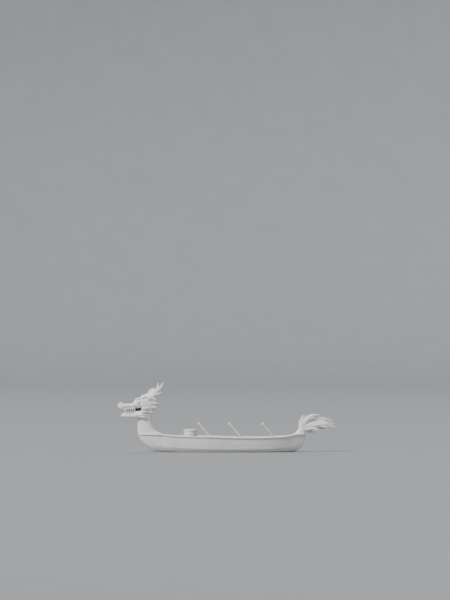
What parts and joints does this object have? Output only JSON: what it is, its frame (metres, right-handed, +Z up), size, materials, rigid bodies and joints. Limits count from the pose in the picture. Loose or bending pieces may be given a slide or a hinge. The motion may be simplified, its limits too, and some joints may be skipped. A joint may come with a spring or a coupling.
{
  "type": "dragon boat",
  "caption": "Small open wooden dragon boat for a paddling crew and a drummer, with a carved head on a tall neck, a plumed tail, a drum, benches and stowed paddles.",
  "frame": {"origin": "on the waterline amidships, on the centreline", "axes": "+X towards the bow, +Y to port, +Z up"},
  "size_m": [6.5703, 1.1126, 2.2043],
  "materials": {
    "hull_paint": "white brushed boat enamel on planks",
    "carving_paint": "white brushed enamel on carved wood",
    "enamel": "glossy white",
    "mouth_black": "flat black paint",
    "bare_timber": "varnished pale wood",
    "drum_paint": "white enamel on staves",
    "drum_hide": "stretched pale hide",
    "stick_timber": "smooth pale wood",
    "paddle_paint": "white enamel on wood"
  },
  "bodies": {
    "root": {"aft_bulkhead": "bare_timber", "aft_deck": "bare_timber", "bench_1": "bare_timber", "bench_2": "bare_timber", "bench_3": "bare_timber", "bilge_plank_port": "hull_paint", "bilge_plank_starboard": "hull_paint", "bottom_plank": "hull_paint", "bow_block": "hull_paint", "brow_port": "carving_paint", "brow_starboard": "carving_paint", "crest": "carving_paint", "drum_hoop": "drum_paint", "drum_shell": "drum_paint", "drum_skin": "drum_hide", "drum_thwart": "bare_timber", "drumstick_port": "stick_timber", "drumstick_starboard": "stick_timber", "ear_port": "carving_paint", "ear_starboard": "carving_paint", "eye_port": "enamel", "eye_starboard": "enamel", "floorboard_middle": "bare_timber", "floorboard_port": "bare_timber", "floorboard_starboard": "bare_timber", "fore_bulkhead": "bare_timber", "fore_deck": "bare_timber", "frame_1": "bare_timber", "frame_2": "bare_timber", "frame_3": "bare_timber", "frame_4": "bare_timber", "garboard_port": "hull_paint", "garboard_starboard": "hull_paint", "head": "carving_paint", "horn_port": "carving_paint", "horn_starboard": "carving_paint", "inwale_port": "hull_paint", "inwale_starboard": "hull_paint", "lower_jaw": "carving_paint", "lower_teeth": "enamel", "mane": "carving_paint", "mouth_lining": "mouth_black", "neck": "carving_paint", "paddle_1_port": "paddle_paint", "paddle_1_starboard": "paddle_paint", "paddle_2_port": "paddle_paint", "paddle_2_starboard": "paddle_paint", "paddle_3_port": "paddle_paint", "paddle_3_starboard": "paddle_paint", "rub_rail_port": "hull_paint", "rub_rail_starboard": "hull_paint", "seat_riser_port": "bare_timber", "seat_riser_starboard": "bare_timber", "sheer_plank_port": "hull_paint", "sheer_plank_starboard": "hull_paint", "stern_block": "hull_paint", "tail_plume": "carving_paint", "tail_stalk": "carving_paint", "tongue": "carving_paint", "upper_teeth": "enamel"}
  },
  "joints": []
}
